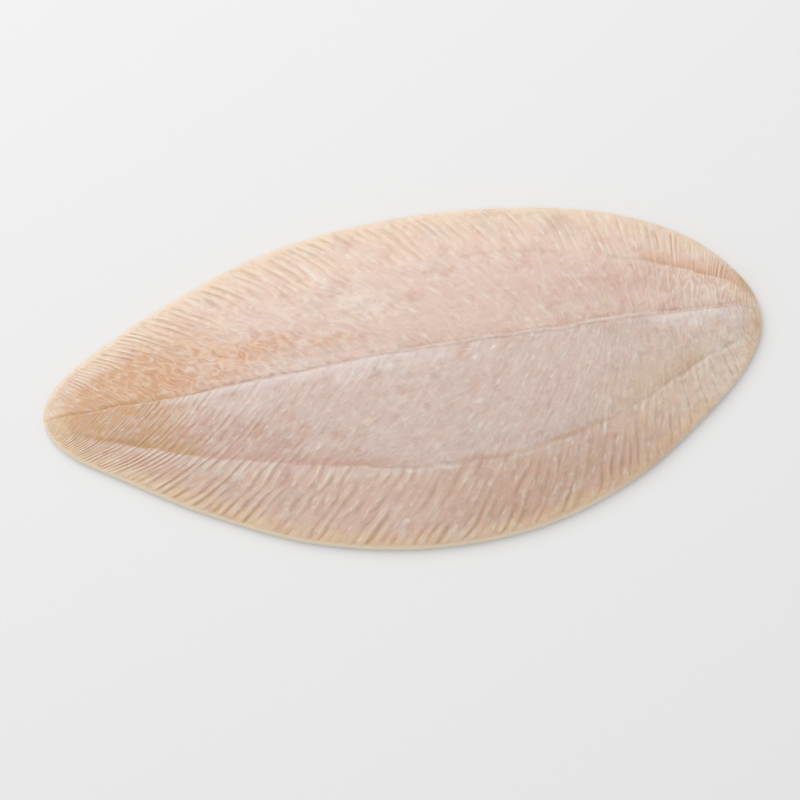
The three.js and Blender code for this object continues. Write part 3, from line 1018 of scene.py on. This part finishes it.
def make_light(scene, name, direction, distance, size, power):
    """A square area light that looks at the fish from a direction."""
    light = bpy.data.lights.new(name, "AREA")
    light.shape = "SQUARE"
    light.size = size
    light.energy = power
    lamp = bpy.data.objects.new(name, light)
    towards = Vector(direction).normalized()
    lamp.location = towards * distance
    lamp.rotation_euler = towards.to_track_quat("Z", "Y").to_euler()
    scene.collection.objects.link(lamp)


def make_camera(scene, lens):
    """Straight above, turned so that the fish lies as in the photo. Its scale holds at
    EDGE_HEIGHT_MM, which is about where the outline lies."""
    mm_per_px = LENGTH / FISH_LENGTH_PX
    right = Vector((math.cos(FISH_TURN), -math.sin(FISH_TURN), 0))
    up = Vector((math.sin(FISH_TURN), math.cos(FISH_TURN), 0))
    half = PHOTO_WIDTH_PX / 2
    aim = right * (half - FISH_CENTRE_PX[0]) + up * (FISH_CENTRE_PX[1] - half)
    camera = bpy.data.cameras.new("camera")
    camera.lens = lens
    camera.sensor_width = 36.0
    distance = PHOTO_WIDTH_PX * mm_per_px * lens / camera.sensor_width
    holder = bpy.data.objects.new("camera", camera)
    holder.location = aim * mm_per_px + Vector((0, 0, distance + EDGE_HEIGHT_MM * MM))
    holder.rotation_euler = (0, 0, -FISH_TURN)
    scene.collection.objects.link(holder)
    scene.camera = holder


class SOLE_OT_stage(bpy.types.Operator):
    """Makes the pale floor, the soft lights and the camera"""

    bl_idname = "sole.stage"
    bl_label = "Stage"

    def execute(self, context):
        scene = context.scene
        stage = scene.sole_stage
        make_floor(scene, stage.floor)
        make_light(scene, "key", (-0.42, 0.9, 1.1), 1.6, 1.4, stage.key_power)
        world = bpy.data.worlds.new("even light")
        world.use_nodes = True
        world.node_tree.nodes["Background"].inputs["Color"].default_value = (1, 1, 1, 1)
        world.node_tree.nodes["Background"].inputs["Strength"].default_value = stage.sky
        scene.world = world
        scene.view_settings.view_transform = "Standard"
        make_camera(scene, stage.lens)
        if scene.camera is None:
            raise RuntimeError("the stage has no camera")
        return {"FINISHED"}


class SOLE_PT_panel(bpy.types.Panel):
    """Lists the operators in the 3D view's sidebar"""

    bl_label = "Dressed sole"
    bl_space_type = "VIEW_3D"
    bl_region_type = "UI"
    bl_category = "Sole"

    def draw(self, context):
        for operator in (SOLE_OT_fish, SOLE_OT_stage):
            self.layout.operator(operator.bl_idname)


CLASSES = (
    SoleShapeSettings,
    SoleColourSettings,
    SoleStageSettings,
    SOLE_OT_fish,
    SOLE_OT_stage,
    SOLE_PT_panel,
)


def register():
    for cls in CLASSES:
        bpy.utils.register_class(cls)
    bpy.types.Scene.sole_shape = bpy.props.PointerProperty(type=SoleShapeSettings)
    bpy.types.Scene.sole_colours = bpy.props.PointerProperty(type=SoleColourSettings)
    bpy.types.Scene.sole_stage = bpy.props.PointerProperty(type=SoleStageSettings)


def unregister():
    del bpy.types.Scene.sole_stage
    del bpy.types.Scene.sole_colours
    del bpy.types.Scene.sole_shape
    for cls in reversed(CLASSES):
        bpy.utils.unregister_class(cls)


def main():
    register()
    bpy.ops.sole.fish()
    bpy.ops.sole.stage()


if __name__ == "__main__":
    main()
